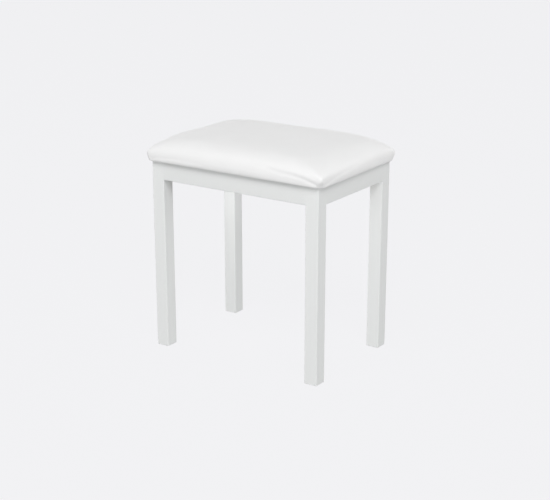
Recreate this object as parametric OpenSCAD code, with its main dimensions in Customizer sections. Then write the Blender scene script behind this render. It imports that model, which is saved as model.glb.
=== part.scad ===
// Padded four-legged piano bench: a painted square-leg frame with a wrapped seat pad.
// Millimetres. Origin on the floor at the middle of the frame, +X right, +Y back, +Z up.

/* [Frame] */
// Width over the legs
frame_w = 418; // [320:1:620]
// Depth over the legs
frame_d = 282; // [230:1:400]
// Height of the frame's top above the floor
frame_h = 420; // [320:1:560]
// Side of the square leg stock
leg_size = 30; // [24:1:45]
// Radius of the eased leg edges
leg_ease = 1.5; // [0.5:0.25:3]
// Chamfer round the foot of each leg
foot_chamfer = 0.8; // [0.3:0.1:2]
// Height of the rails
rail_h = 40; // [32:1:70]
// Thickness of the rails
rail_t = 18; // [14:1:24]
// Radius of the eased lower rail edges
rail_ease = 1.2; // [0.5:0.1:3]

/* [Rail dowels] */
// Dowel diameter
dowel_d = 8; // [6:0.5:10]
// Depth of a dowel in the rail end
dowel_in_rail = 15; // [10:1:25]
// Dowel axis to the nearest rail edge
dowel_edge = 8; // [6:0.5:14]
// Wood left between the dowels that meet inside a leg
dowel_apart = 2; // [1:0.5:4]
// Free space at the end of each dowel hole
dowel_end_gap = 1; // [0.5:0.5:3]

/* [Corner blocks] */
// Thickness of a block across the corner
block_t = 24; // [18:1:32]
// Block top below the rails' top
block_drop = 2; // [1:0.5:6]
// Block underside above the rails' lower edge
block_rise = 6; // [2:0.5:12]
// Width of the flat on the leg's inner corner
leg_flat = 9; // [5:0.5:12]
// Radial clearance of a piece driven into its hole
drive_fit = 0.05; // [0.02:0.01:0.2]
// Radial clearance of a piece that passes through
pass_fit = 0.4; // [0.2:0.1:1]

/* [Hanger bolts] */
// Bolt diameter
bolt_d = 6; // [5:1:8]
// Length of the wood thread in the leg
bolt_in_leg = 24; // [16:1:30]
// Length of the pointed end
bolt_tip = 5; // [3:0.5:8]
// Bolt end beyond the nut
bolt_proud = 4; // [2:0.5:10]
// Washer diameter
bolt_washer_d = 16; // [12:0.5:20]
// Washer thickness
bolt_washer_t = 1.6; // [1:0.1:2.5]
// Nut size across its corners
nut_corners = 11.5; // [9:0.1:15]
// Nut thickness
nut_t = 5; // [4:0.1:7]

/* [Block screws] */
// Screw diameter
block_screw_d = 4; // [3:0.5:5]
// Screw length under the head
block_screw_len = 20; // [16:1:22]
// Head diameter
block_screw_head_d = 8; // [6:0.5:9]
// Head thickness
block_screw_head_t = 2.4; // [1.5:0.1:3]
// Block left under the head
block_screw_seat = 7; // [5:0.5:10]
// Block between the bolt washer and the screw's pocket
pocket_land = 4; // [2:0.5:6]

/* [Seat board] */
// Board thickness
board_t = 12; // [9:1:18]
// Vertical radius of the pad's corners
pad_corner_r = 20; // [14:1:40]
// Pad beyond the legs at the sides
overhang_side = 9; // [4:0.5:20]
// Pad beyond the legs at the front and back
overhang_front = 10.5; // [4:0.5:20]

/* [Padding] */
// Height of the pad's upright edge above the frame
edge_h = 16.7; // [14:0.1:30]
// Rise of the crown above the edge
crown_h = 41.3; // [20:0.1:60]
// Flatness of the crown across the seat
crown_p = 4.4; // [2:0.1:8]
// Fullness of the crown's shoulder
crown_q = 2.58; // [1.5:0.01:4]
// Thickness of the wadding
wadding_t = 2.5; // [1.5:0.1:6]
// Thickness of the cover
cover_t = 1.2; // [0.8:0.1:2.5]
// Free space between the layers of the pad
layer_gap = 0.1; // [0.05:0.05:0.3]
// Cover turned under beyond the last row of staples
hem_land = 4; // [3:0.5:12]
// Rounding of the cover's lower edge
cover_edge = 1.2; // [0.5:0.1:2.5]

/* [Dust cover] */
// Thickness of the dust cover
dust_t = 0.4; // [0.2:0.1:1]
// Dust cover's edge inside the cover's row of staples
dust_gap = 5; // [3:0.5:10]
// Dust cover's cut corners inside the corner blocks
dust_corner_gap = 7; // [3:0.5:15]

/* [Seat screws] */
// Screw diameter
seat_screw_d = 4.5; // [3.5:0.5:6]
// Depth of the screw in the board
seat_screw_bite = 9; // [6:0.5:9]
// Head diameter
seat_screw_head_d = 8.5; // [7:0.5:11]
// Head thickness
seat_screw_head_t = 2.8; // [2:0.1:4]
// Washer diameter
seat_washer_d = 12; // [10:0.5:16]
// Washer thickness
seat_washer_t = 1; // [0.8:0.1:2]
// Washer's clearance from the front or rear rail
seat_washer_clear = 1.8; // [1:0.1:4]

/* [Staples] */
// Crown width
staple_w = 10; // [6:0.5:13]
// Leg length
staple_leg = 6; // [4:0.5:8]
// Wire thickness
staple_wire = 0.7; // [0.5:0.1:1]
// Staples along a long side of the cover
staples_long = 7; // [3:1:10]
// Staples along a short side of the cover
staples_short = 4; // [2:1:6]
// Staple row's distance inside the rails
staple_row = 6; // [4:0.5:9]
// Dust cover staple row inside the dust cover's edge
dust_staple_row = 4; // [3:0.5:7]

/* [Glides] */
// Glide diameter
glide_d = 21; // [16:1:26]
// Glide thickness
glide_t = 1.6; // [1:0.1:4]
// Radius of the glide's lower edge
glide_round = 0.6; // [0.2:0.1:1]
// Nail diameter
glide_nail_d = 2; // [1.5:0.1:3]
// Nail length
glide_nail_len = 16; // [10:1:22]

/* [Hidden] */
$fn = 48;
BIG = 200;
CUT = 1;
CROSS_W = 1.1;
CROSS_D = 1.2;
CORNER_STEPS = 6;
LONG_STEPS = 7;
SHORT_STEPS = 5;
CROWN_RINGS = 11;
RING_PACK = 2.6;
EDGE_TURN = 8;
CORNERS = [[-1, -1], [1, -1], [1, 1], [-1, 1]];

rail_z = frame_h - rail_h;
rail_long = frame_w - 2 * leg_size;
rail_short = frame_d - 2 * leg_size;
dowel_heights = [rail_z + dowel_edge, frame_h - dowel_edge];
dowel_in_leg = leg_size - rail_t / 2 - dowel_d / 2 - dowel_apart;
joint_z = rail_z + rail_h / 2;

// The block lies across the corner, between two lines on which x + y is constant.
block_in = 2 * leg_size - leg_flat / sqrt(2);
block_out = block_in + block_t * sqrt(2);
block_mid = (block_in + block_out) / 2;
block_z = rail_z + block_rise;
block_top = frame_h - block_drop;
bolt_len = bolt_in_leg + block_t + bolt_washer_t + nut_t + bolt_proud;
pocket_d = block_screw_head_d + 1;
pocket_x = block_out / 2 + (bolt_washer_d / 2 + pocket_land) / sqrt(2) + pocket_d / 2;

pad_x = frame_w / 2 + overhang_side;
pad_y = frame_d / 2 + overhang_front;
board_z = frame_h + cover_t;
board_top = board_z + board_t;
shoulder_z = frame_h + edge_h;
wadding_in = cover_t + layer_gap;
core_in = wadding_in + wadding_t + layer_gap;
// The board's corners are true arcs, which stand a little outside the pad's facets.
board_in = core_in + layer_gap;
seat_screw_y = rail_t + seat_washer_d / 2 + seat_washer_clear;
seat_screw_len = seat_washer_t + frame_h - block_z + cover_t + seat_screw_bite;
staple_x = frame_w / 2 - rail_t - staple_row;
staple_y = frame_d / 2 - rail_t - staple_row;
dust_x = staple_x - dust_gap;
dust_y = staple_y - dust_gap;
dust_cut = block_out + dust_corner_gap * sqrt(2) - 2 * (rail_t + staple_row + dust_gap);
hem_w = max(overhang_side, overhang_front) + rail_t + staple_row + dust_gap + dust_staple_row + hem_land;

// Sub-part to draw

// ---- placing ----

// Corner frame: the leg's outer corner is at 0, 0 and the bench lies towards +X and +Y.
module at_corner(c) {
    mirror([c[0] > 0 ? 1 : 0, 0, 0])
        mirror([0, c[1] > 0 ? 1 : 0, 0])
            translate([-frame_w / 2, -frame_d / 2, 0])
                children();
}

module at_corners() {
    for (c = CORNERS) {
        at_corner(c) {
            children();
        }
    }
}

// Swaps the corner frame's two rails.
module other_rail() {
    mirror([1, -1, 0])
        children();
}

// Turns +Z to point along +X.
module along_x() {
    rotate([0, 90, 0])
        children();
}

// Turns +Z to point from the leg's outer corner towards the middle of the bench.
module along_diagonal() {
    rotate([0, 0, 45])
        along_x()
            children();
}

// ---- hardware ----

// Pan-head wood screw, head at the bottom, point up, its seat at z = 0.
module wood_screw(d, len, head_d, head_t) {
    tip = d * 1.2;
    difference() {
        union() {
            translate([0, 0, -head_t])
                cylinder(h = head_t * 0.4, d1 = head_d * 0.78, d2 = head_d);
            translate([0, 0, -head_t * 0.6])
                cylinder(h = head_t * 0.6, d = head_d);
            cylinder(h = len - tip, d = d);
            translate([0, 0, len - tip])
                cylinder(h = tip, d1 = d, d2 = d * 0.2);
        }
        for (a = [0, 90]) {
            rotate([0, 0, a])
                translate([-head_d * 0.27, -CROSS_W / 2, -head_t - CUT])
                    cube([head_d * 0.54, CROSS_W, CROSS_D + CUT]);
        }
    }
}

module washer(d, bore, t) {
    difference() {
        cylinder(h = t, d = d);
        translate([0, 0, -CUT])
            cylinder(h = t + 2 * CUT, d = bore);
    }
}

// Staple wire with its crown along X, driven upwards, the crown's upper face at z = 0.
module staple(play = 0) {
    wire = staple_wire + 2 * play;
    for (s = [-1, 1]) {
        translate([s * (staple_w - staple_wire) / 2 - wire / 2, -wire / 2, -staple_wire / 2])
            cube([wire, wire, staple_leg + staple_wire / 2 + play]);
    }
    translate([-staple_w / 2, -staple_wire / 2, -staple_wire])
        cube([staple_w, staple_wire, staple_wire]);
}

// Places its child along a rectangle of half sizes hx and hy, turned to follow each side.
module staple_places(hx, hy, nx, ny, reach_x, reach_y) {
    for (s = [-1, 1]) {
        for (i = [0:nx - 1]) {
            translate([reach_x * (2 * i / (nx - 1) - 1), s * hy, 0])
                children();
        }
        for (i = [0:ny - 1]) {
            translate([s * hx, reach_y * (2 * i / (ny - 1) - 1), 0])
                rotate([0, 0, 90])
                    children();
        }
    }
}

module cover_staple_set(play = 0) {
    translate([0, 0, frame_h])
        staple_places(
            staple_x,
            staple_y,
            staples_long,
            staples_short,
            frame_w / 2 - block_out,
            frame_d / 2 - block_out
        )
            staple(play);
}

module dust_staple_set(play = 0) {
    translate([0, 0, frame_h - dust_t])
        staple_places(
            dust_x - dust_staple_row,
            dust_y - dust_staple_row,
            staples_long - 2,
            staples_short - 1,
            dust_x - dust_cut - staple_w,
            dust_y - dust_cut - staple_w
        )
            staple(play);
}

// ---- frame ----

// A square with its corners eased; each sharp corner is listed by its index, going round from 0, 0.
module eased_square(size, r, sharp) {
    corners = [[0, 0], [size, 0], [size, size], [0, size]];
    union() {
        translate([r, 0])
            square([size - 2 * r, size]);
        translate([0, r])
            square([size, size - 2 * r]);
        for (i = [0:3]) {
            c = corners[i];
            if (len(search(i, sharp)) > 0) {
                translate([c[0] > 0 ? size - r : 0, c[1] > 0 ? size - r : 0])
                    square(r);
            } else {
                translate([c[0] > 0 ? size - r : r, c[1] > 0 ? size - r : r])
                    circle(r);
            }
        }
    }
}

module dowel_row(in_leg, in_rail, r) {
    for (z = dowel_heights) {
        translate([leg_size - in_leg, rail_t / 2, z])
            along_x()
                cylinder(h = in_leg + in_rail, r = r);
    }
}

module dowel_rows(end_gap, r) {
    dowel_row(dowel_in_leg + end_gap, dowel_in_rail + end_gap, r);
    other_rail()
        dowel_row(dowel_in_leg + end_gap, dowel_in_rail + end_gap, r);
}

// Shaft along the corner's diagonal, from inside the leg to beyond the nut.
module hanger_shaft(r, start_extra) {
    start = block_in / sqrt(2) - bolt_in_leg - start_extra;
    translate([0, 0, joint_z])
        along_diagonal()
            translate([0, 0, start])
                cylinder(h = bolt_len + start_extra, r = r);
}

module leg() {
    half = leg_size / 2;
    color([0.93, 0.93, 0.92])
        difference() {
            union() {
                translate([0, 0, glide_t])
                    linear_extrude(height = rail_z - glide_t)
                        eased_square(leg_size, leg_ease, []);
                translate([0, 0, rail_z])
                    linear_extrude(height = rail_h)
                        eased_square(leg_size, leg_ease, [1, 2, 3]);
            }
            // flat for the corner block
            translate([block_in / 2, block_in / 2, rail_z])
                rotate([0, 0, 45])
                    translate([0, -leg_size, 0])
                        cube([leg_size, 2 * leg_size, rail_h + CUT]);
            // foot chamfer
            for (a = [0:90:270]) {
                translate([half, half, glide_t])
                    rotate([0, 0, a])
                        translate([half - foot_chamfer, -leg_size, 0])
                            rotate([0, 45, 0])
                                translate([0, 0, -leg_size])
                                    cube([leg_size, 2 * leg_size, 2 * leg_size]);
            }
            dowel_rows(dowel_end_gap, dowel_d / 2 + drive_fit);
            hanger_shaft(bolt_d / 2 + drive_fit, dowel_end_gap);
            // glide nail
            translate([half, half, 0])
                cylinder(h = glide_t + glide_nail_len + CUT, r = glide_nail_d / 2 + drive_fit);
        }
}

// Rail along X with its outer face at y = 0, its end faces at x = leg_size and leg_size + length.
module rail(length) {
    color([0.93, 0.93, 0.92])
        difference() {
            translate([leg_size, 0, rail_z])
                along_x()
                    rotate([0, 0, 90])
                        linear_extrude(height = length)
                            rail_section();
            rail_end_cuts();
            translate([2 * leg_size + length, 0, 0])
                mirror([1, 0, 0])
                    rail_end_cuts();
        }
}

// Section with the outer face on the Y axis, the lower edge at y = 0 and its two lower corners eased.
module rail_section() {
    union() {
        translate([0, rail_ease])
            square([rail_t, rail_h - rail_ease]);
        translate([rail_ease, 0])
            square([rail_t - 2 * rail_ease, rail_h]);
        for (x = [rail_ease, rail_t - rail_ease]) {
            translate([x, rail_ease])
                circle(rail_ease);
        }
    }
}

// Dowel holes and block-screw hole at the rail's end.
module rail_end_cuts() {
    dowel_row(CUT, dowel_in_rail + dowel_end_gap, dowel_d / 2 + drive_fit);
    block_screw_place()
        cylinder(h = block_screw_len + CUT / 2, r = block_screw_d / 2 + drive_fit);
}

// Corner frame of the screw that holds a block to the rail along X: seat at 0, point towards the rail.
module block_screw_place() {
    translate([pocket_x, rail_t + block_screw_seat, joint_z])
        rotate([90, 0, 0])
            children();
}

module rail_x() {
    translate([-frame_w / 2, -frame_d / 2, 0])
        rail(rail_long);
}

module rail_y() {
    translate([-frame_w / 2, -frame_d / 2, 0])
        other_rail()
            rail(rail_short);
}

// ---- corner blocks ----

module corner_block() {
    near = block_in - rail_t;
    far = block_out - rail_t;
    color([0.80, 0.66, 0.47])
        difference() {
            translate([0, 0, block_z])
                linear_extrude(height = block_top - block_z)
                    polygon([[near, rail_t], [far, rail_t], [rail_t, far], [rail_t, near]]);
            hanger_shaft(bolt_d / 2 + pass_fit, dowel_end_gap);
            block_screw_cuts();
            other_rail()
                block_screw_cuts();
            translate([0, 0, block_z - CUT])
                seat_screw_place()
                    cylinder(h = block_top - block_z + 2 * CUT, r = seat_screw_d / 2 + pass_fit);
        }
}

// Clearance hole and head pocket of one block screw.
module block_screw_cuts() {
    block_screw_place() {
        translate([0, 0, -CUT])
            cylinder(h = block_screw_seat + 2 * CUT, r = block_screw_d / 2 + drive_fit);
        translate([0, 0, -BIG])
            cylinder(h = BIG, d = pocket_d);
    }
}

module seat_screw_place() {
    translate([block_mid - seat_screw_y, seat_screw_y, 0])
        children();
}

module rail_dowels() {
    color([0.83, 0.70, 0.50])
        at_corners()
            dowel_rows(0, dowel_d / 2);
}

module corner_block_screws() {
    color([0.72, 0.66, 0.45])
        at_corners() {
            block_screw_place()
                wood_screw(block_screw_d, block_screw_len, block_screw_head_d, block_screw_head_t);
            other_rail()
                block_screw_place()
                    wood_screw(block_screw_d, block_screw_len, block_screw_head_d, block_screw_head_t);
        }
}

// Places its child on the diagonal at the block's inner face, +Z towards the middle of the bench.
module on_block_face() {
    translate([0, 0, joint_z])
        along_diagonal()
            translate([0, 0, block_out / sqrt(2)])
                children();
}

module hanger_bolts() {
    point = block_in / sqrt(2) - bolt_in_leg;
    color([0.70, 0.70, 0.72])
        at_corners()
            translate([0, 0, joint_z])
                along_diagonal() {
                    translate([0, 0, point + bolt_tip])
                        cylinder(h = bolt_len - bolt_tip, d = bolt_d);
                    translate([0, 0, point])
                        cylinder(h = bolt_tip, d1 = bolt_d * 0.25, d2 = bolt_d);
                }
}

module hanger_bolt_washers() {
    color([0.74, 0.74, 0.76])
        at_corners()
            on_block_face()
                washer(bolt_washer_d, bolt_d + 2 * pass_fit, bolt_washer_t);
}

module hanger_bolt_nuts() {
    color([0.70, 0.70, 0.72])
        at_corners()
            on_block_face()
                translate([0, 0, bolt_washer_t])
                    difference() {
                        cylinder(h = nut_t, d = nut_corners, $fn = 6);
                        translate([0, 0, -CUT])
                            cylinder(h = nut_t + 2 * CUT, r = bolt_d / 2 + drive_fit);
                    }
}

// ---- pad ----

function arc_points(cx, cy, r, start) = [
    for (i = [0:CORNER_STEPS])
        [cx + r * cos(start + 90 * i / CORNER_STEPS), cy + r * sin(start + 90 * i / CORNER_STEPS)]
];

function side_points(from, to, steps) = [for (i = [1:steps - 1]) from + (to - from) * i / steps];

function pad_radius(inset) = max(pad_corner_r - inset, 2);

// Rounded rectangle, anticlockwise, always with the same number of points.
function pad_outline(inset) =
    let (
        hx = pad_x - inset,
        hy = pad_y - inset,
        r = pad_radius(inset),
        x = hx - r,
        y = hy - r
    )
    concat(
        arc_points(x, y, r, 0),
        side_points([x, hy], [-x, hy], LONG_STEPS),
        arc_points(-x, y, r, 90),
        side_points([-hx, y], [-hx, -y], SHORT_STEPS),
        arc_points(-x, -y, r, 180),
        side_points([-x, -hy], [x, -hy], LONG_STEPS),
        arc_points(x, -y, r, 270),
        side_points([hx, -y], [hx, y], SHORT_STEPS)
    );

// 1 at the middle, falling to 0 at the edge.
function crown(u) = pow(max(0, 1 - pow(abs(u), crown_p)), 1 / crown_q);

function flat_ring(inset, z) = [for (p = pad_outline(inset)) [p[0], p[1], z]];

// One ring of the crown, drawn in from the outline to the fraction s of it.
function crown_ring(inset, s) =
    let (
        hx = pad_x - inset,
        hy = pad_y - inset,
        rise = (crown_h - inset) * crown(pow(s, EDGE_TURN))
    )
    [
        for (p = pad_outline(inset))
            [s * p[0], s * p[1], shoulder_z + rise * crown(s * p[0] / hx) * crown(s * p[1] / hy)]
    ];

// Rings from the crown's outer edge (k = 0) to its smallest (k = CROWN_RINGS - 1).
function crown_share(k) = 1 - pow(k / CROWN_RINGS, RING_PACK);
function crown_rings(inset) = [for (k = [0:CROWN_RINGS - 1]) crown_ring(inset, crown_share(k))];
function crown_top(inset) = [0, 0, shoulder_z + crown_h - inset];
function reversed(list) = [for (i = [len(list) - 1:-1:0]) list[i]];

// Closed skin from one end point through the rings to the other end point.
// Each four-sided patch is split the same way whether its rings rise or fall, so nested skins keep apart.
module ring_skin(first, rings, last) {
    n = len(rings[0]);
    rows = len(rings);
    points = concat([first], [for (r = rings) each r], [last]);
    end = len(points) - 1;
    caps = [
        for (i = [0:n - 1])
            each [
                [0, 1 + (i + 1) % n, 1 + i],
                [end, end - n + i, end - n + (i + 1) % n]
            ]
    ];
    walls = [
        for (k = [0:rows - 2])
            for (i = [0:n - 1])
                let (
                    a = 1 + k * n + i,
                    b = 1 + k * n + (i + 1) % n,
                    falls = points[a][2] >= points[a + n][2]
                )
                each falls
                    ? [[a, b, b + n], [a, b + n, a + n]]
                    : [[a, b, a + n], [b, b + n, a + n]]
    ];
    polyhedron(points = points, faces = concat(caps, walls), convexity = 6);
}

module board_cuts() {
    at_corners()
        seat_screw_place()
            translate([0, 0, board_z - CUT])
                cylinder(h = seat_screw_bite + CUT + drive_fit, r = seat_screw_d / 2 + drive_fit);
    cover_staple_set(drive_fit);
    dust_staple_set(drive_fit);
}

module seat_board() {
    hx = pad_x - board_in;
    hy = pad_y - board_in;
    r = pad_radius(board_in);
    color([0.82, 0.68, 0.48])
        difference() {
            translate([0, 0, board_z])
                linear_extrude(height = board_t)
                    union() {
                        square([2 * hx, 2 * (hy - r)], center = true);
                        square([2 * (hx - r), 2 * hy], center = true);
                        for (c = CORNERS) {
                            translate([c[0] * (hx - r), c[1] * (hy - r)])
                                circle(r);
                        }
                    }
            board_cuts();
        }
}

module seat_foam() {
    color([0.93, 0.88, 0.70])
        ring_skin(
            crown_top(core_in),
            concat(reversed(crown_rings(core_in)), [flat_ring(core_in, board_top)]),
            [0, 0, board_top]
        );
}

module seat_wadding() {
    color([0.96, 0.96, 0.96])
        ring_skin(
            crown_top(wadding_in),
            concat(
                reversed(crown_rings(wadding_in)),
                [flat_ring(wadding_in, board_z), flat_ring(core_in - layer_gap, board_z)],
                crown_rings(core_in - layer_gap)
            ),
            crown_top(core_in - layer_gap)
        );
}

module seat_cover() {
    color([0.97, 0.97, 0.97])
        difference() {
            ring_skin(
                crown_top(0),
                concat(
                    reversed(crown_rings(0)),
                    [
                        flat_ring(0, frame_h + cover_edge),
                        flat_ring(cover_edge, frame_h),
                        flat_ring(hem_w, frame_h),
                        flat_ring(hem_w, board_z),
                        flat_ring(cover_t, board_z)
                    ],
                    crown_rings(cover_t)
                ),
                crown_top(cover_t)
            );
            at_corners()
                seat_screw_place()
                    translate([0, 0, frame_h - CUT])
                        cylinder(h = cover_t + 2 * CUT, r = seat_screw_d / 2 + pass_fit);
            cover_staple_set(drive_fit);
            dust_staple_set(drive_fit);
        }
}

module cover_staples() {
    color([0.75, 0.75, 0.77])
        cover_staple_set();
}

module dust_cover() {
    x = dust_x;
    y = dust_y;
    c = dust_cut;
    color([0.12, 0.12, 0.12])
        difference() {
            translate([0, 0, frame_h - dust_t])
                linear_extrude(height = dust_t)
                    polygon([
                        [-x + c, -y],
                        [x - c, -y],
                        [x, -y + c],
                        [x, y - c],
                        [x - c, y],
                        [-x + c, y],
                        [-x, y - c],
                        [-x, -y + c]
                    ]);
            dust_staple_set(drive_fit);
        }
}

module dust_cover_staples() {
    color([0.75, 0.75, 0.77])
        dust_staple_set();
}

// ---- seat fixing ----

module seat_screws() {
    color([0.74, 0.74, 0.76])
        at_corners()
            seat_screw_place()
                translate([0, 0, block_z - seat_washer_t])
                    wood_screw(seat_screw_d, seat_screw_len, seat_screw_head_d, seat_screw_head_t);
}

module seat_screw_washers() {
    color([0.78, 0.78, 0.80])
        at_corners()
            seat_screw_place()
                translate([0, 0, block_z - seat_washer_t])
                    washer(seat_washer_d, seat_screw_d + 2 * pass_fit, seat_washer_t);
}

// ---- glides ----

module foot_glides() {
    r = glide_d / 2;
    color([0.90, 0.90, 0.90])
        at_corners()
            translate([leg_size / 2, leg_size / 2, 0]) {
                cylinder(h = glide_round, r1 = r - glide_round, r2 = r);
                translate([0, 0, glide_round])
                    cylinder(h = glide_t - glide_round, r = r);
                translate([0, 0, glide_t])
                    cylinder(h = glide_nail_len, d = glide_nail_d);
            }
}

// ---- named pieces ----

module leg_front_left() {
    at_corner(CORNERS[0])
        leg();
}

module leg_front_right() {
    at_corner(CORNERS[1])
        leg();
}

module leg_rear_right() {
    at_corner(CORNERS[2])
        leg();
}

module leg_rear_left() {
    at_corner(CORNERS[3])
        leg();
}

module rail_front() {
    rail_x();
}

module rail_rear() {
    mirror([0, 1, 0])
        rail_x();
}

module rail_left() {
    rail_y();
}

module rail_right() {
    mirror([1, 0, 0])
        rail_y();
}

module corner_block_front_left() {
    at_corner(CORNERS[0])
        corner_block();
}

module corner_block_front_right() {
    at_corner(CORNERS[1])
        corner_block();
}

module corner_block_rear_right() {
    at_corner(CORNERS[2])
        corner_block();
}

module corner_block_rear_left() {
    at_corner(CORNERS[3])
        corner_block();
}

leg_front_left();
leg_front_right();
leg_rear_right();
leg_rear_left();
rail_front();
rail_rear();
rail_left();
rail_right();
rail_dowels();
corner_block_front_left();
corner_block_front_right();
corner_block_rear_right();
corner_block_rear_left();
corner_block_screws();
hanger_bolts();
hanger_bolt_washers();
hanger_bolt_nuts();
seat_board();
seat_foam();
seat_wadding();
seat_cover();
cover_staples();
dust_cover();
dust_cover_staples();
seat_screws();
seat_screw_washers();
foot_glides();
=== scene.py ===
import math

import bmesh
import bpy
import numpy as np
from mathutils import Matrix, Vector


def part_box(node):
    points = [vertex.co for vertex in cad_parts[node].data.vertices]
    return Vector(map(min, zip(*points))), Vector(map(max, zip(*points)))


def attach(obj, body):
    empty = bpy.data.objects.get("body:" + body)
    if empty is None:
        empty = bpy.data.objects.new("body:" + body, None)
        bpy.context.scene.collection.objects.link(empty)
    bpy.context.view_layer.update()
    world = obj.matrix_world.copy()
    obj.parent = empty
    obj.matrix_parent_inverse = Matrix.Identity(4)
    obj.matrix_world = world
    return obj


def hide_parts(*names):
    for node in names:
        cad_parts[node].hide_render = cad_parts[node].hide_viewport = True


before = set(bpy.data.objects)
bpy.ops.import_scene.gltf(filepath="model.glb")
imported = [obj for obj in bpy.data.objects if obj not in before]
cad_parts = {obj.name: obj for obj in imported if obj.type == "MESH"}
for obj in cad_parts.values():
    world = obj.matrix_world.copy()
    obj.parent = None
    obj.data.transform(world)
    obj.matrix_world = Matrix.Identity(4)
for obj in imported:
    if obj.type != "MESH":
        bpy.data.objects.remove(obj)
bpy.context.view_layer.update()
scene = bpy.context.scene
MM = 0.001
TURN = 2 * math.pi


# ---------------------------------------------------------------- meshes

def mesh_object(name, points, faces, smooth=True):
    mesh = bpy.data.meshes.new(name)
    mesh.from_pydata([tuple(p) for p in points], [], [tuple(f) for f in faces])
    mesh.validate()
    obj = bpy.data.objects.new(name, mesh)
    scene.collection.objects.link(obj)
    if smooth:
        mesh.shade_smooth()
    return obj


def get_points(mesh):
    co = np.zeros(len(mesh.vertices) * 3, np.float32)
    mesh.vertices.foreach_get("co", co)
    return co.reshape(-1, 3).astype(float)


def set_points(mesh, points):
    mesh.vertices.foreach_set("co", np.asarray(points, np.float32).ravel())
    mesh.update()


def get_normals(mesh):
    n = np.zeros(len(mesh.vertices) * 3, np.float32)
    mesh.vertices.foreach_get("normal", n)
    return n.reshape(-1, 3).astype(float)


def subdivide(obj):
    """Subdivides the mesh once, smoothly, and leaves no modifier on the object."""
    m = obj.modifiers.new("Subdivision", "SUBSURF")
    m.levels = m.render_levels = 1
    deps = bpy.context.evaluated_depsgraph_get()
    made = bpy.data.meshes.new_from_object(obj.evaluated_get(deps))
    obj.modifiers.clear()
    obj.data = made
    made.shade_smooth()


def merge_close(obj):
    """Joins points that lie on each other and drops the faces that collapse."""
    bm = bmesh.new()
    bm.from_mesh(obj.data)
    bmesh.ops.remove_doubles(bm, verts=bm.verts, dist=0.02 * MM)
    bmesh.ops.dissolve_degenerate(bm, edges=bm.edges, dist=0.01 * MM)
    bm.to_mesh(obj.data)
    bm.free()
    obj.data.shade_smooth()


def even_out(mesh, values, times):
    """Averages per-point values with their neighbours', several times over."""
    edges = np.zeros(len(mesh.edges) * 2, np.int32)
    mesh.edges.foreach_get("vertices", edges)
    a, b = edges.reshape(-1, 2).T
    count = np.bincount(np.concatenate([a, b]), minlength=len(values))[:, None]
    for _ in range(times):
        total = np.zeros_like(values)
        np.add.at(total, a, values[b])
        np.add.at(total, b, values[a])
        values = 0.5 * values + 0.5 * total / np.maximum(count, 1)
    return values


def border(nx, ny):
    """Grid indices round the border of the (nx + 1) by (ny + 1) grid, anticlockwise."""
    ring = [(i, 0) for i in range(nx)] + [(nx, j) for j in range(ny)]
    ring += [(i, ny) for i in range(nx, 0, -1)] + [(0, j) for j in range(ny, 0, -1)]
    return ring


def round_corners(x, y, half_x, half_y, r):
    """Moves points of a sharp rectangle into one with round corners of radius r."""
    u = np.clip((np.abs(x) - (half_x - r)) / r, 0, 1)
    v = np.clip((np.abs(y) - (half_y - r)) / r, 0, 1)
    both = (u > 0) & (v > 0)
    nx = np.where(both, np.sign(x) * (half_x - r + r * u * np.sqrt(1 - v * v / 2)), x)
    ny = np.where(both, np.sign(y) * (half_y - r + r * v * np.sqrt(1 - u * u / 2)), y)
    return nx, ny


def smoothstep(lo, hi, v):
    """0 at lo, 1 at hi, smooth between them. lo may be the larger of the two."""
    t = np.clip((v - lo) / (hi - lo), 0, 1)
    return t * t * (3 - 2 * t)


def bell(v):
    return np.exp(-v * v)


# ---------------------------------------------------------------- sizes from the frame

cover_lo, cover_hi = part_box("seat_cover")
leg_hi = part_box("leg_front_left")[1]
rail_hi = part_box("rail_front")[1]
side_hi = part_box("rail_left")[1]
dust_lo, dust_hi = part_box("dust_cover")

PAD_X = cover_hi.x
PAD_Y = cover_hi.y
SEAT_Z = cover_lo.z
TOP_Z = cover_hi.z
INNER_X = -side_hi.x        # the space inside the rails
INNER_Y = -rail_hi.y
LEG_X = -leg_hi.x           # the inner edge of each leg
LEG_Y = -leg_hi.y


# ---------------------------------------------------------------- cushion

EDGE = 16.7 * MM            # height of the upright edge below the crown
CROWN_P = 4.4
CROWN_Q = 2.58
SHRINK = 0.8 * MM           # the shell starts this much smaller, because it swells
BULGE = 1.5 * MM            # how far the edge bulges above its pulled-in lower line
BULGE_FULL = (15 * MM, 17 * MM)     # between these heights the bulge is full
BULGE_GONE = 48 * MM
LOW_R = {(-1, -1): 12 * MM, (1, -1): 19 * MM, (1, 1): 17 * MM, (-1, 1): 16 * MM}
MIDDLE_R = 16 * MM
HIGH_R = 7 * MM
LEAST_R = 3 * MM
ROUNDED = (1 * MM, 15 * MM)         # corner radii go from LOW_R to HIGH_R between these heights
HEM_START = 16 * MM         # the cover's edge strip beneath the pad is this wide
HEM_STEP = 0.5 * MM
CORE_Z = SEAT_Z + 4 * MM    # the closed shell's floor, inside the pad
NX, NY = 92, 64
LIFT = 0.02 * MM            # soft pieces keep this far off what they lie on

# the lower edge, from the side inward: inset and height in mm
EDGE_PROFILE = [(0, 13.5), (0, 10.2), (0, 7.0), (0.1, 4.2), (0.5, 1.9), (1.3, 0.6),
                (3.0, 0.02), (8.0, 0.02)]

SWELL_CAP = 1.8 * MM
SWELL_FRAMES = 20
SWELL_FADE = 18 * MM        # below this height the swelling fades out
SWELL_EVENED = 12


def crown(u):
    return np.maximum(0.0, 1 - np.abs(u) ** CROWN_P) ** (1 / CROWN_Q)


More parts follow.
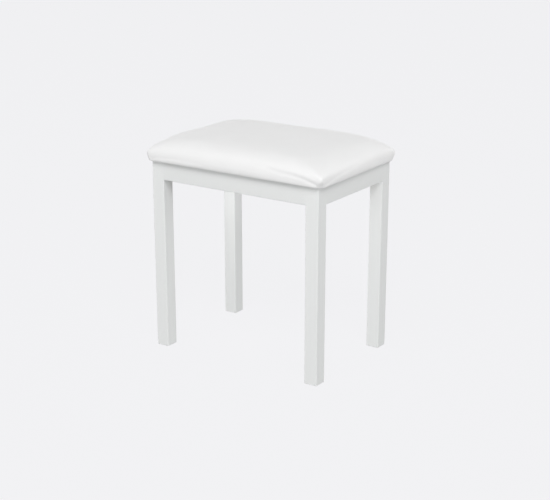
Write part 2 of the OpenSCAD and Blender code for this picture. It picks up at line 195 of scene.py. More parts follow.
def even_steps(half, rise, n):
    """Stations from -half to half, evenly spaced along the crown's own curve."""
    t = np.sin(np.linspace(-math.pi / 2, math.pi / 2, 4001))
    z = rise * crown(t)
    length = np.concatenate([[0], np.cumsum(np.hypot(np.diff(t * half), np.diff(z)))])
    return np.interp(np.linspace(0, length[-1], n + 1), length, t * half)


def pad_outline(x, y, above, inset=0.0):
    """Bulges and rounds the pad's outline as it is at this height above the seat board."""
    share = smoothstep(0, BULGE_FULL[0], above) * smoothstep(BULGE_GONE, BULGE_FULL[1], above)
    out = BULGE * share - inset
    base_x, base_y = PAD_X - SHRINK, PAD_Y - SHRINK
    hx, hy = base_x + out, base_y + out
    low = np.full(np.shape(x), MIDDLE_R)
    for (sx, sy), r in LOW_R.items():
        low = np.where((np.sign(x) == sx) & (np.sign(y) == sy), r, low)
    r = np.maximum(low + (HIGH_R - low) * smoothstep(*ROUNDED, above) - inset, LEAST_R)
    return round_corners(x * hx / base_x, y * hy / base_y, hx, hy, r)


def cushion_shell():
    """Closed quad shell: crown, bulging edge, a narrow strip beneath, and a raised floor."""
    half_x, half_y = PAD_X - SHRINK, PAD_Y - SHRINK
    rise = TOP_Z - SEAT_Z - EDGE - SHRINK
    xs, ys = even_steps(half_x, rise, NX), even_steps(half_y, rise, NY)
    gx, gy = np.meshgrid(xs, ys, indexing="ij")
    gz = EDGE + rise * crown(gx / half_x) * crown(gy / half_y)
    px, py = pad_outline(gx, gy, gz)
    points = [np.stack([px, py, SEAT_Z + gz], -1).reshape(-1, 3)]
    count = (NX + 1) * (NY + 1)
    index = np.arange(count).reshape(NX + 1, NY + 1)
    faces = []
    for i in range(NX):
        for j in range(NY):
            faces.append((index[i, j], index[i + 1, j], index[i + 1, j + 1], index[i, j + 1]))
    ring = border(NX, NY)
    n = len(ring)
    upper = np.array([index[i, j] for i, j in ring])
    edge_x = np.array([gx[i, j] for i, j in ring])
    edge_y = np.array([gy[i, j] for i, j in ring])
    profile = [(p * MM, q * MM) for p, q in EDGE_PROFILE]
    profile += [(HEM_START, LIFT), (HEM_START + HEM_STEP, CORE_Z - SEAT_Z)]
    for inset, above in profile:
        x, y = pad_outline(edge_x, edge_y, np.full(n, above), inset)
        points.append(np.stack([x, y, np.full(n, SEAT_Z + above)], -1))
        lower = np.arange(count, count + n)
        count += n
        for k in range(n):
            after = (k + 1) % n
            faces.append((upper[k], lower[k], lower[after], upper[after]))
        upper = lower
    # the raised floor is a grid that shares its border with the last ring
    inner = {ij: upper[k] for k, ij in enumerate(ring)}
    scale_x = (half_x - HEM_START - HEM_STEP) / half_x
    scale_y = (half_y - HEM_START - HEM_STEP) / half_y
    extra = []
    for i in range(NX + 1):
        for j in range(NY + 1):
            if (i, j) not in inner:
                inner[i, j] = count + len(extra)
                extra.append((gx[i, j] * scale_x, gy[i, j] * scale_y, CORE_Z))
    points.append(np.array(extra))
    for i in range(NX):
        for j in range(NY):
            faces.append((inner[i, j], inner[i, j + 1], inner[i + 1, j + 1], inner[i + 1, j]))
    return np.concatenate(points), faces


def swell(obj):
    """Swells the cover as cloth under a little air pressure, its lower edge and floor held."""
    start = get_points(obj.data)
    low = np.nonzero(start[:, 2] < SEAT_Z + 2.5 * MM)[0]
    at_floor = np.abs(start[:, 2] - CORE_Z) < 0.1 * MM
    inside = (np.abs(start[:, 0]) < PAD_X - 15 * MM) & (np.abs(start[:, 1]) < PAD_Y - 15 * MM)
    held = obj.vertex_groups.new(name="held")
    fixed = np.union1d(low, np.nonzero(at_floor & inside)[0])
    held.add([int(i) for i in fixed], 1.0, "REPLACE")
    s = obj.modifiers.new("Cloth", "CLOTH").settings
    s.quality = 6
    s.mass = 0.3
    s.tension_stiffness = s.compression_stiffness = 25
    s.shear_stiffness = 12
    s.bending_stiffness = 0.6
    s.use_pressure = True
    s.uniform_pressure_force = 4
    s.effector_weights.gravity = 0
    s.vertex_group_mass = "held"
    for f in range(1, SWELL_FRAMES + 1):
        scene.frame_set(f)
    deps = bpy.context.evaluated_depsgraph_get()
    step = get_points(obj.evaluated_get(deps).data) - start
    obj.modifiers.clear()
    obj.vertex_groups.clear()
    scene.frame_set(1)
    length = np.linalg.norm(step, axis=1)
    keep = np.minimum(1, SWELL_CAP / np.maximum(length, 1e-9))
    step *= (keep * smoothstep(0, SWELL_FADE, start[:, 2] - SEAT_Z))[:, None]
    set_points(obj.data, start + even_out(obj.data, step, SWELL_EVENED))


# Folds: (distance along the side, height above the seat board) from start to end, in mm.
CORNER_FOLD = [(60, 33), (97, 24.5), (122, 21), (147, 19.5), (170, 16.5), (190, 11.5), (212, 5)]
LEFT_FOLD = [(-40, 9), (-90, 12), (-140, 12.5), (-180, 10), (-213, 5)]
RIGHT_FOLD = [(40, 26), (-20, 22), (-70, 18), (-110, 12), (-147, 4)]

PLATEAU = 0.9 * MM          # the foam's flat top ends in a soft edge this high
PLATEAU_HALF = (183 * MM, 124 * MM)
PLATEAU_R = 50 * MM
PLATEAU_SOFT = 3.5 * MM
PLATEAU_REACH = 17 * MM
PLATEAU_FROM = (30 * MM, 42 * MM)

WAVE = 0.16 * MM            # soft waves between the staples that pull the cover down
WAVES_X = ((61.3, 0.7), (37.1, 0.0))    # wavelength in mm and phase
WAVES_Y = ((57.7, 1.9), (34.9, 0.0))
GATHER = 0.16 * MM          # gathers round each corner, deepest at the lower edge
GATHER_CORNER = 20 * MM
GATHERS = 12


def along(points, path):
    """Signed distance of each 2-D point to the path (positive on its left), and its place
    along the path, from 0 to 1."""
    path = np.array(path, float)
    seg = np.diff(path, axis=0)
    size = np.linalg.norm(seg, axis=1)
    total = size.sum()
    best = np.full(len(points), 1e9)
    signed = np.zeros(len(points))
    share = np.zeros(len(points))
    done = 0.0
    for a, d, length in zip(path[:-1], seg, size):
        rel = points - a
        t = np.clip(rel @ d / (length * length), 0, 1)
        dist = np.linalg.norm(rel - t[:, None] * d, axis=1)
        side = np.sign(d[0] * rel[:, 1] - d[1] * rel[:, 0])
        closer = dist < best
        best = np.where(closer, dist, best)
        signed = np.where(closer, dist * side, signed)
        share = np.where(closer, (done + t * length) / total, share)
        done += length
    return signed, share


def fold(co, side, path, width, depth, ridge):
    """A soft fold pressed into the front or right side of the pad, all sizes in mm."""
    if side == "front":
        run = co[:, 0]
        near = smoothstep(-PAD_Y + 22 * MM, -PAD_Y + 8 * MM, co[:, 1])
    else:
        run = co[:, 1]
        near = smoothstep(PAD_X - 22 * MM, PAD_X - 8 * MM, co[:, 0])
    d, t = along(np.stack([run, co[:, 2] - SEAT_Z], -1) / MM, path)
    fade = smoothstep(0, 0.35, t) * smoothstep(1.0, 0.93, t)
    shape = -depth * bell(d / width) + ridge * bell((d - 1.9 * width) / (1.3 * width))
    return shape * fade * near * MM


def plateau_edge(co):
    """How much of the plateau's soft edge each point has, from 0 to 1."""
    dx = np.abs(co[:, 0] - 1 * MM) - (PLATEAU_HALF[0] - PLATEAU_R)
    dy = np.abs(co[:, 1]) - (PLATEAU_HALF[1] - PLATEAU_R)
    away = np.hypot(np.maximum(dx, 0), np.maximum(dy, 0)) + np.minimum(np.maximum(dx, dy), 0)
    soft = np.sqrt((away - PLATEAU_R) ** 2 + PLATEAU_SOFT ** 2) - PLATEAU_SOFT
    return np.exp(-soft / PLATEAU_REACH) * smoothstep(*PLATEAU_FROM, co[:, 2] - SEAT_Z)


def waves(run, pair):
    """A long wave and, at half its height, a shorter one."""
    (long, phase), (short, other) = pair
    return np.sin(run / MM * TURN / long + phase) + 0.5 * np.sin(run / MM * TURN / short + other)


def corner_gathers(co, above):
    ax = np.abs(co[:, 0]) - (PAD_X - GATHER_CORNER)
    ay = np.abs(co[:, 1]) - (PAD_Y - GATHER_CORNER)
    angle = np.arctan2(np.maximum(ay, 0), np.maximum(ax, 0) + 1e-9)
    at_corner = smoothstep(-6 * MM, 5 * MM, ax) * smoothstep(-6 * MM, 5 * MM, ay)
    low = smoothstep(13 * MM, 3 * MM, above) * (above > 0.5 * MM)
    return GATHER * np.cos(angle * GATHERS) * low * at_corner


def cushion_details(obj):
    """Presses the plateau edge, folds, waves and gathers into the swelled pad."""
    co, n = get_points(obj.data), get_normals(obj.data)
    above = co[:, 2] - SEAT_Z
    lift = PLATEAU * plateau_edge(co)
    lift += fold(co, "front", CORNER_FOLD, 3.6, 0.95, 0.5)
    lift += fold(co, "front", LEFT_FOLD, 3.0, 0.35, 0.2)
    lift += fold(co, "side", RIGHT_FOLD, 3.2, 0.4, 0.2)
    edge = smoothstep(26 * MM, 4 * MM, above) * (above > 1 * MM)
    on_long = smoothstep(PAD_Y - 30 * MM, PAD_Y - 8 * MM, np.abs(co[:, 1]))
    on_short = smoothstep(PAD_X - 30 * MM, PAD_X - 8 * MM, np.abs(co[:, 0]))
    lift += WAVE * edge * (waves(co[:, 0], WAVES_X) * on_long + waves(co[:, 1], WAVES_Y) * on_short)
    lift += corner_gathers(co, above)
    co += n * lift[:, None]
    # the pad sits a little to the right, most at its front corner
    to_right = smoothstep(60 * MM, 200 * MM, co[:, 0]) * smoothstep(50 * MM, 20 * MM, above)
    co[:, 0] += to_right * (2.2 * MM - 0.016 * co[:, 1])
    co[:, 2] = np.maximum(co[:, 2], SEAT_Z + LIFT)
    set_points(obj.data, co)


def make_cushion():
    obj = mesh_object("seat_cushion", *cushion_shell())
    swell(obj)
    subdivide(obj)
    cushion_details(obj)
    obj.data.shade_smooth()
    return obj


# ---------------------------------------------------------------- underside soft pieces

HEM_INNER = (341 * MM, 208 * MM)
HEM_STEPS = 26
HEM_STATIONS = 420
HEM_THICK = 1.15 * MM
HEM_R = 6 * MM
HEM_WOBBLES = (3, 7, 12, 19, 31, 43)    # waves round the hand-cut inner edge
HEM_WOBBLE = 1.4 * MM
PLEAT_DROP = 0.95 * MM
PLEATS = 13

DUST_CUT = 41.5 * MM        # the dust cloth's corners are cut off by this much
DUST_THICK = 0.35 * MM
DUST_SAG = 1.1 * MM
DUST_RIPPLE = 0.14 * MM
DUST_NX, DUST_NY = 120, 76


def rectangle_stations(half_x, half_y, n):
    """n points evenly spaced round a rectangle, from its front left corner, anticlockwise."""
    s = np.arange(n) / n * 4 * (half_x + half_y)
    x, y = np.zeros(n), np.zeros(n)
    start = 0.0
    for length, dx, dy, from_x, from_y in (
            (2 * half_x, 1, 0, -half_x, -half_y), (2 * half_y, 0, 1, half_x, -half_y),
            (2 * half_x, -1, 0, half_x, half_y), (2 * half_y, 0, -1, -half_x, half_y)):
        on = (s >= start) & (s < start + length)
        x[on] = from_x + dx * (s[on] - start)
        y[on] = from_y + dy * (s[on] - start)
        start += length
    return x, y


def inside_dust_cloth(x, y):
    """How far inside the dust cloth's outline each point is, negative outside it."""
    x1, y1 = dust_hi.x, dust_hi.y
    corner = (x1 + y1 - DUST_CUT - np.abs(x) - np.abs(y)) / math.sqrt(2)
    return np.minimum(np.minimum(x1 - np.abs(x), y1 - np.abs(y)), corner)


def pleat_drop(x, y):
    """Pleats fan out from each leg, inside the rails and clear of the dust cloth."""
    free = smoothstep(1 * MM, 5 * MM, np.minimum(INNER_X - np.abs(x), INNER_Y - np.abs(y)))
    from_x, from_y = LEG_X - np.abs(x), LEG_Y - np.abs(y)
    fan = np.arctan2(from_y, from_x + 1e-9)
    near = smoothstep(95 * MM, 60 * MM, np.hypot(from_x, from_y))
    bare = smoothstep(-1 * MM, -6 * MM, inside_dust_cloth(x, y))
    pleat = np.clip(np.sin(fan * PLEATS + 0.5) * 1.4, 0, 1)
    return PLEAT_DROP * pleat * near * free * bare


def make_hem():
    """The cover turned in under the board: a thin ring, its inner edge cut by hand."""
    n = HEM_STATIONS
    phase = np.random.default_rng(11).uniform(0, TURN, len(HEM_WOBBLES))
    a = np.arange(n) / n
    wobble = sum(np.sin(TURN * a * k + p) for k, p in zip(HEM_WOBBLES, phase))
    wobble *= HEM_WOBBLE / len(HEM_WOBBLES)
    bx, by = rectangle_stations(PAD_X, PAD_Y, n)
    deep_x, deep_y = PAD_X - HEM_INNER[0] / 2, PAD_Y - HEM_INNER[1] / 2
    rings = []
    for k in range(HEM_STEPS + 1):
        t = k / HEM_STEPS
        ix = HEM_START + (deep_x - HEM_START) * t + wobble * t
        iy = HEM_START + (deep_y - HEM_START) * t + wobble * t
        x, y = bx * (PAD_X - ix) / PAD_X, by * (PAD_Y - iy) / PAD_Y
        x, y = round_corners(x, y, PAD_X - ix, PAD_Y - iy, np.full(n, HEM_R))
        rings.append(np.stack([x, y, SEAT_Z + LIFT - pleat_drop(x, y)], -1))
    lower = np.concatenate(rings)
    upper = lower + np.array([0, 0, HEM_THICK])
    m = len(lower)
    last = HEM_STEPS * n
    faces = []
    for i in range(n):
        j = (i + 1) % n
        for p in range(0, last, n):
            q = p + n
            faces.append((p + i, q + i, q + j, p + j))
            faces.append((m + p + i, m + p + j, m + q + j, m + q + i))
        faces.append((last + i, m + last + i, m + last + j, last + j))
        faces.append((i, j, m + j, m + i))
    return mesh_object("seat_cover_hem", np.concatenate([lower, upper]), faces)


def make_dust_cloth():
    """Thin black cloth under the board, its edges held by staples, sagging between them."""
    x1, y1 = dust_hi.x, dust_hi.y
    gx, gy = np.meshgrid(np.linspace(-x1, x1, DUST_NX + 1), np.linspace(-y1, y1, DUST_NY + 1),
                         indexing="ij")
    # points beyond a cut corner slide back onto the cut
    over = np.maximum(0, np.abs(gx) + np.abs(gy) - (x1 + y1 - DUST_CUT)) / 2
    gx, gy = gx - np.sign(gx) * over, gy - np.sign(gy) * over
    inset = inside_dust_cloth(gx, gy)
    ripple = np.sin(gx / MM / 9.1) * np.sin(gy / MM / 23.0 + 0.4)
    ripple += 0.6 * np.sin((gx + gy) / MM / 13.7 + 1.1)
    near_edge = smoothstep(2 * MM, 14 * MM, inset) * smoothstep(70 * MM, 30 * MM, inset)
    sag = DUST_SAG * smoothstep(4 * MM, 60 * MM, inset) + DUST_RIPPLE * ripple * near_edge
    lower = np.stack([gx, gy, dust_lo.z + LIFT - sag], -1).reshape(-1, 3)
    upper = lower + np.array([0, 0, DUST_THICK])
    m = len(lower)
    index = np.arange(m).reshape(DUST_NX + 1, DUST_NY + 1)
    faces = []
    for i in range(DUST_NX):
        for j in range(DUST_NY):
            q = (index[i, j], index[i, j + 1], index[i + 1, j + 1], index[i + 1, j])
            faces.append(q)
            faces.append(tuple(m + v for v in reversed(q)))
    ring = [index[i, j] for i, j in border(DUST_NX, DUST_NY)]
    for a, b in zip(ring, ring[1:] + ring[:1]):
        faces.append((a, b, m + b, m + a))
    obj = mesh_object("dust_cloth", np.concatenate([lower, upper]), faces)
    merge_close(obj)
    return obj


# ---------------------------------------------------------------- materials

class Nodes:
    """A Principled material built step by step."""

    def __init__(self, name, color, roughness, **sockets):
        self.mat = bpy.data.materials.new(name)
        self.mat.use_nodes = True
        self.tree = self.mat.node_tree
        self.tree.nodes.clear()
        self.out = self.add("ShaderNodeOutputMaterial")
        self.bsdf = self.add("ShaderNodeBsdfPrincipled")
        self.link(self.bsdf, "BSDF", self.out, "Surface")
        self.bsdf.inputs["Base Color"].default_value = (*color, 1)
        self.bsdf.inputs["Roughness"].default_value = roughness
        for k, v in sockets.items():
            self.bsdf.inputs[k.replace("_", " ")].default_value = v
        self.coord = self.add("ShaderNodeTexCoord")
        self.bump = None
        self.mat.diffuse_color = (*color, 1)

    def add(self, kind, **values):
        node = self.tree.nodes.new(kind)
        for k, v in values.items():
            if k in node.inputs:
                node.inputs[k].default_value = v
            else:
                setattr(node, k, v)
        return node

    def link(self, a, out, b, socket):
        self.tree.links.new(a.outputs[out], b.inputs[socket])

    def scaled(self, scale):
        m = self.add("ShaderNodeMapping")
        m.inputs["Scale"].default_value = scale
        self.link(self.coord, "Object", m, "Vector")
        return m

    def noise(self, size_mm, detail, rough, stretch=(1, 1, 1)):
        """Noise whose features are about size_mm across, drawn out along each axis."""
        m = self.scaled(tuple(1 / s for s in stretch))
        n = self.add("ShaderNodeTexNoise")
        n.inputs["Scale"].default_value = 1 / (size_mm * MM)
        n.inputs["Detail"].default_value = detail
        n.inputs["Roughness"].default_value = rough
        self.link(m, "Vector", n, "Vector")
        return n

    def cells(self, size_mm, feature="F1", random=1.0):
        """Cells about size_mm across, less regular the higher random is."""
        v = self.add("ShaderNodeTexVoronoi")
        v.feature = feature
        v.inputs["Scale"].default_value = 1 / (size_mm * MM)
        v.inputs["Randomness"].default_value = random
        self.link(self.coord, "Object", v, "Vector")
        return v

    def ramp(self, source, out, stops):
        """A colour ramp over the source. Each stop is a place and a colour or a grey."""
        r = self.add("ShaderNodeValToRGB")
        while len(r.color_ramp.elements) < len(stops):
            r.color_ramp.elements.new(0.5)
        for e, (p, c) in zip(r.color_ramp.elements, stops):
            e.position = p
            e.color = (*c, 1) if len(c) == 3 else (c[0], c[0], c[0], 1)
        self.link(source, out, r, "Fac")
        return r

    def color(self, source, out="Color"):
        self.link(source, out, self.bsdf, "Base Color")

    def roughness(self, source, out, low, high):
        """Roughness that runs from low to high with the source."""
        m = self.add("ShaderNodeMapRange")
        m.inputs["To Min"].default_value = low
        m.inputs["To Max"].default_value = high
        self.link(source, out, m, "Value")
        self.link(m, "Result", self.bsdf, "Roughness")

    def raise_by(self, source, out, height_mm, strength=1.0):
        """Adds a bump layer of the given height."""
        b = self.add("ShaderNodeBump")
        b.inputs["Distance"].default_value = height_mm * MM
        b.inputs["Strength"].default_value = strength
        self.link(source, out, b, "Height")
        if self.bump:
            self.link(self.bump, "Normal", b, "Normal")
        self.bump = b
        for link in list(self.tree.links):
            if link.to_socket == self.bsdf.inputs["Normal"]:
                self.tree.links.remove(link)
        self.link(b, "Normal", self.bsdf, "Normal")


def painted_wood(name, stretch):
    """White satin paint, with a faint roller texture and a trace of the grain beneath."""
    m = Nodes(name, PAINT, 0.42)
    tone = m.noise(60, 2, 0.5, stretch)
    warm = tuple(c * 1.012 for c in PAINT)
    cool = tuple(c * 0.985 for c in PAINT)
    m.color(m.ramp(tone, "Fac", [(0.3, cool), (0.7, warm)]))
    peel = m.noise(1.6, 2, 0.45)
    grain = m.noise(1.3, 3, 0.55, tuple(s * 3 for s in stretch))
    m.raise_by(grain, "Fac", 0.05, 0.5)
    m.raise_by(peel, "Fac", 0.05, 0.6)
    m.roughness(peel, "Fac", 0.36, 0.5)
    return m.mat


def bare_wood(name, light, dark, stretch):
    m = Nodes(name, light, 0.7)
    grain = m.noise(2.2, 5, 0.6, stretch)
    band = m.noise(14, 2, 0.5, stretch)
    base = m.ramp(grain, "Fac", [(0.35, dark), (0.62, light)])
    mix = m.add("ShaderNodeMixRGB", blend_type="MULTIPLY")
    mix.inputs["Fac"].default_value = 0.5
    m.link(base, "Color", mix, "Color1")
    tint = m.ramp(band, "Fac", [(0.3, (0.80, 0.76, 0.70)), (0.7, (1, 1, 1))])
    m.link(tint, "Color", mix, "Color2")
    m.color(mix)
    m.raise_by(grain, "Fac", 0.12, 0.6)
    m.roughness(grain, "Fac", 0.6, 0.82)
    return m.mat


def leather(name):
    """White artificial leather: a fine pebble grain with a soft sheen."""
    m = Nodes(name, LEATHER, 0.5, Specular_IOR_Level=0.3)
    tone = m.noise(45, 2, 0.5)
    m.color(m.ramp(tone, "Fac", [(0.3, tuple(c * 0.985 for c in LEATHER)), (0.7, LEATHER)]))
    pebble = m.cells(1.15, "DISTANCE_TO_EDGE")
    grain = m.ramp(pebble, "Distance", [(0.0, (0.0,)), (0.28, (1.0,))])
    pores = m.noise(0.5, 2, 0.5)
    m.raise_by(grain, "Color", 0.045, 0.55)
    m.raise_by(pores, "Fac", 0.02, 0.5)
    m.roughness(tone, "Fac", 0.46, 0.56)
    return m.mat


def black_cloth(name):
    """Bonded cloth: pressed dots over a fibrous ground."""
    m = Nodes(name, (0.018, 0.018, 0.02), 0.85)
    fibres = m.noise(0.7, 4, 0.7)
    dots = m.cells(1.6, "F1", 0.15)
    dot = m.ramp(dots, "Distance", [(0.22, (0.0,)), (0.34, (1.0,))])
    m.color(m.ramp(fibres, "Fac", [(0.35, (0.010, 0.010, 0.011)), (0.7, (0.040, 0.040, 0.043))]))
    m.raise_by(dot, "Color", 0.10, 0.8)
    m.raise_by(fibres, "Fac", 0.06, 0.6)
    return m.mat


def metal(name, color, rough):
    m = Nodes(name, color, rough, Metallic=1.0)
    patch = m.noise(3, 3, 0.6)
    m.color(m.ramp(patch, "Fac", [(0.3, tuple(c * 0.82 for c in color)), (0.7, color)]))
    m.roughness(patch, "Fac", rough - 0.08, rough + 0.12)
    m.raise_by(m.noise(0.4, 2, 0.5), "Fac", 0.01, 0.5)
    return m.mat


def plastic(name, color):
    m = Nodes(name, color, 0.5)
    patch = m.noise(2.5, 2, 0.5)
    m.color(m.ramp(patch, "Fac", [(0.3, tuple(c * 0.94 for c in color)), (0.7, color)]))
    m.roughness(patch, "Fac", 0.42, 0.6)
    m.raise_by(patch, "Fac", 0.02, 0.4)
    return m.mat


def foam(name, color):
    m = Nodes(name, color, 0.95)
    pores = m.cells(1.2)
    # the pore centres, which the bump below sinks, are painted darker: painted shade in the pores
    m.color(m.ramp(pores, "Distance", [(0.1, tuple(c * 0.7 for c in color)), (0.6, color)]))
    m.raise_by(pores, "Distance", 0.3, 0.7)
    return m.mat


PAINT = (0.815, 0.828, 0.823)
LEATHER = (0.90, 0.90, 0.90)

along_x = (12, 1, 1)
along_y = (1, 12, 1)
along_z = (1, 1, 12)
paint_x = painted_wood("paint_along_x", along_x)
paint_y = painted_wood("paint_along_y", along_y)
paint_z = painted_wood("paint_along_z", along_z)
PINE, PINE_DARK = (0.64, 0.47, 0.28), (0.47, 0.31, 0.16)
BIRCH, BIRCH_DARK = (0.62, 0.50, 0.34), (0.50, 0.37, 0.22)
pine = bare_wood("pine", PINE, PINE_DARK, (9, 9, 1))
beech = bare_wood("beech", BIRCH, BIRCH_DARK, (6, 6, 1))
plywood = bare_wood("birch_plywood", BIRCH, BIRCH_DARK, (14, 1, 1))
zinc = metal("bright_zinc", (0.66, 0.67, 0.69), 0.32)
yellow_zinc = metal("yellow_zinc", (0.70, 0.58, 0.32), 0.34)
cover_leather = leather("white_artificial_leather")
cloth = black_cloth("black_bonded_cloth")
glide = plastic("glide_plastic", (0.80, 0.80, 0.79))
pad_foam = foam("pad_foam", (0.85, 0.76, 0.50))
pad_wadding = foam("pad_wadding", (0.86, 0.86, 0.84))

LEGS = [f"leg_{end}_{hand}" for end in ("front", "rear") for hand in ("left", "right")]
BLOCKS = [leg.replace("leg", "corner_block") for leg in LEGS]
FINISH = [
    (paint_z, LEGS),
    (paint_x, ["rail_front", "rail_rear"]),
    (paint_y, ["rail_left", "rail_right"]),
    (pine, BLOCKS),
    (beech, ["rail_dowels"]),
    (plywood, ["seat_board"]),
    (yellow_zinc, ["corner_block_screws"]),
    (zinc, ["hanger_bolts", "hanger_bolt_washers", "hanger_bolt_nuts", "cover_staples",
            "dust_cover_staples", "seat_screws", "seat_screw_washers"]),
    (glide, ["foot_glides"]),
    (pad_foam, ["seat_foam"]),
    (pad_wadding, ["seat_wadding"]),
    (cover_leather, ["seat_cover"]),
    (cloth, ["dust_cover"]),
]


def finish_with(obj, material):
    obj.data.materials.clear()
    obj.data.materials.append(material)


for material, node_names in FINISH:
    for node_name in node_names:
        finish_with(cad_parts[node_name], material)

cushion = make_cushion()
hem = make_hem()
dust = make_dust_cloth()
for piece, material in ((cushion, cover_leather), (hem, cover_leather), (dust, cloth)):
    finish_with(piece, material)
    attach(piece, "root")
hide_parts("seat_cover", "seat_wadding", "seat_foam")
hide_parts("dust_cover")


# ---------------------------------------------------------------- floor, light, camera

STAGE_R = 18.0
PALE = (0.8796, 0.8796, 0.8963)
FLOOR_MATTE = 0.03
FLOOR_GLOW = tuple(c - 0.02 for c in PALE)

WALL_TURN = math.radians(22.5)      # the front wall's middle, to the right of straight ahead
WALL_BLEND = 0.38
WALL_SCALE = 2.0
# elevation in degrees, and how bright the wall is there
WALL_FRONT = [(-90, 0.45), (-6, 0.45), (0, 1.19), (12, 1.19), (22, 0.0), (90, 0.0)]
WALL_BACK = [(-90, 0.45), (-6, 0.45), (0, 1.53), (12, 1.53), (22, 0.97), (38, 0.97),
             (50, 0.0), (90, 0.0)]

AIM = Vector((0, 0, 0.3))
STRIP_AT = Vector((-0.075, leg_hi.y + 1 * MM, 0.32))    # just behind the front legs

CAMERA_AT = (1.431, -2.078, 1.0165)
CAMERA_TURN = math.radians(34.36)
CAMERA_DIP = math.radians(17.52)
SENSOR = 36
LENS = SENSOR * 1219.4 / 550

def seen_only_by_camera(obj):
    """Floor and backdrop show behind the object and neither light it nor shade it."""
    obj.visible_diffuse = obj.visible_glossy = obj.visible_transmission = False
    obj.visible_volume_scatter = obj.visible_shadow = False


def glow_material(name, glow, matte):
    mat = bpy.data.materials.new(name)
    mat.use_nodes = True
    tree = mat.node_tree
    tree.nodes.clear()
    out = tree.nodes.new("ShaderNodeOutputMaterial")
    add = tree.nodes.new("ShaderNodeAddShader")
    diffuse = tree.nodes.new("ShaderNodeBsdfDiffuse")
    emit = tree.nodes.new("ShaderNodeEmission")
    diffuse.inputs["Color"].default_value = (matte, matte, matte, 1)
    emit.inputs["Color"].default_value = (*glow, 1)
    tree.links.new(diffuse.outputs[0], add.inputs[0])
    tree.links.new(emit.outputs[0], add.inputs[1])
    tree.links.new(add.outputs[0], out.inputs["Surface"])
    return mat


def make_stage():
    """A round pale floor that meets a dome of the same pale tone."""
    n, rows = 64, 16
    rim = [(STAGE_R * math.cos(TURN * i / n), STAGE_R * math.sin(TURN * i / n), 0)
           for i in range(n)]
    floor = mesh_object("floor", rim, [tuple(range(n))], smooth=False)
    floor.data.materials.append(glow_material("pale_floor", FLOOR_GLOW, FLOOR_MATTE))
    points, faces = [], []
    for k in range(rows + 1):
        up = math.pi / 2 * k / rows
        points += [(x * math.cos(up), y * math.cos(up), STAGE_R * math.sin(up))
                   for x, y, _ in rim]
    for k in range(rows):
        for i in range(n):
            j = (i + 1) % n
            faces.append((k * n + i, k * n + n + i, k * n + n + j, k * n + j))
    dome = mesh_object("backdrop", points, faces)
    dome.data.materials.append(glow_material("pale_backdrop", PALE, 0.0))
    for obj in (floor, dome):
        seen_only_by_camera(obj)


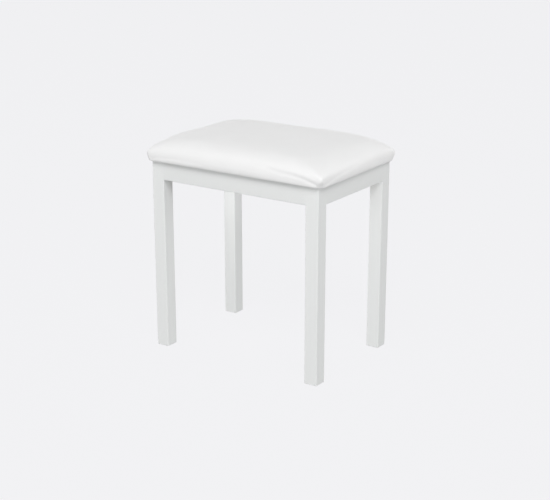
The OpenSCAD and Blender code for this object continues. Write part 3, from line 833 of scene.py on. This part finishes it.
def make_world():
    """Light walls all round, low in front and reaching higher at the back."""
    world = bpy.data.worlds.new("studio")
    scene.world = world
    world.use_nodes = True
    tree = world.node_tree
    tree.nodes.clear()
    out = tree.nodes.new("ShaderNodeOutputWorld")
    sky = tree.nodes.new("ShaderNodeBackground")
    coord = tree.nodes.new("ShaderNodeTexCoord")
    split = tree.nodes.new("ShaderNodeSeparateXYZ")
    tree.links.new(coord.outputs["Generated"], split.inputs[0])
    height = tree.nodes.new("ShaderNodeMapRange")
    height.inputs["From Min"].default_value = -1
    tree.links.new(split.outputs["Z"], height.inputs["Value"])
    toward = tree.nodes.new("ShaderNodeVectorMath")
    toward.operation = "DOT_PRODUCT"
    toward.inputs[1].default_value = (math.sin(WALL_TURN), -math.cos(WALL_TURN), 0)
    tree.links.new(coord.outputs["Generated"], toward.inputs[0])
    front = tree.nodes.new("ShaderNodeMapRange")
    front.inputs["From Min"].default_value = -WALL_BLEND
    front.inputs["From Max"].default_value = WALL_BLEND
    tree.links.new(toward.outputs["Value"], front.inputs["Value"])
    mix = tree.nodes.new("ShaderNodeMixRGB")
    tree.links.new(front.outputs["Result"], mix.inputs["Fac"])
    for socket, stops in (("Color1", WALL_BACK), ("Color2", WALL_FRONT)):
        ramp = tree.nodes.new("ShaderNodeValToRGB")
        while len(ramp.color_ramp.elements) < len(stops):
            ramp.color_ramp.elements.new(0.5)
        for e, (up, level) in zip(ramp.color_ramp.elements, stops):
            e.position = (math.sin(math.radians(up)) + 1) / 2
            v = level / WALL_SCALE
            e.color = (v, v, v, 1)
        tree.links.new(height.outputs["Result"], ramp.inputs["Fac"])
        tree.links.new(ramp.outputs["Color"], mix.inputs[socket])
    tree.links.new(mix.outputs["Color"], sky.inputs["Color"])
    sky.inputs["Strength"].default_value = WALL_SCALE
    tree.links.new(sky.outputs[0], out.inputs["Surface"])


def around(turn, up, away):
    """The point at that turn from the front, that height angle and that distance."""
    turn, up = math.radians(turn), math.radians(up)
    flat = math.cos(up)
    return AIM + away * Vector((math.sin(turn) * flat, -math.cos(turn) * flat, math.sin(up)))


def area_light(name, at, aim, width, height, power, lit=None):
    """A rectangular light. Where lit is given, it lights only that, and without shadows."""
    data = bpy.data.lights.new(name, "AREA")
    data.shape = "RECTANGLE"
    data.size, data.size_y = width, height
    data.energy = power
    obj = bpy.data.objects.new(name, data)
    scene.collection.objects.link(obj)
    obj.location = at
    obj.rotation_euler = (aim - obj.location).to_track_quat("-Z", "Y").to_euler()
    obj.visible_camera = False
    if lit:
        data.use_shadow = False
        obj.light_linking.receiver_collection = lit
    return obj


def make_lights():
    area_light("key_front", around(0, 52, 6.0), AIM, 3.0, 3.0, 104)
    area_light("key_right", around(45, 40, 6.0), AIM, 3.0, 3.0, 179)
    # one linked light only: a second one makes every linked part too bright
    legs = bpy.data.collections.new("legs")
    for leg in LEGS:
        legs.objects.link(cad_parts[leg])
    area_light("fill_front", around(0, 0, 4.0), AIM, 1.0, 1.0, 6.4, legs)
    area_light("fill_rear_legs", STRIP_AT, STRIP_AT + Vector((0, 1, 0)), 0.05, 0.18, 0.41)


def make_camera():
    data = bpy.data.cameras.new("camera")
    data.sensor_width = SENSOR
    data.lens = LENS
    cam = bpy.data.objects.new("camera", data)
    scene.collection.objects.link(cam)
    cam.location = CAMERA_AT
    flat = math.cos(CAMERA_DIP)
    look = Vector((-math.sin(CAMERA_TURN) * flat, math.cos(CAMERA_TURN) * flat,
                   -math.sin(CAMERA_DIP)))
    cam.rotation_euler = look.to_track_quat("-Z", "Y").to_euler()
    data.clip_end = 60
    scene.camera = cam


make_stage()
make_world()
make_lights()
make_camera()
scene.view_settings.view_transform = "Standard"
scene.view_settings.look = "None"
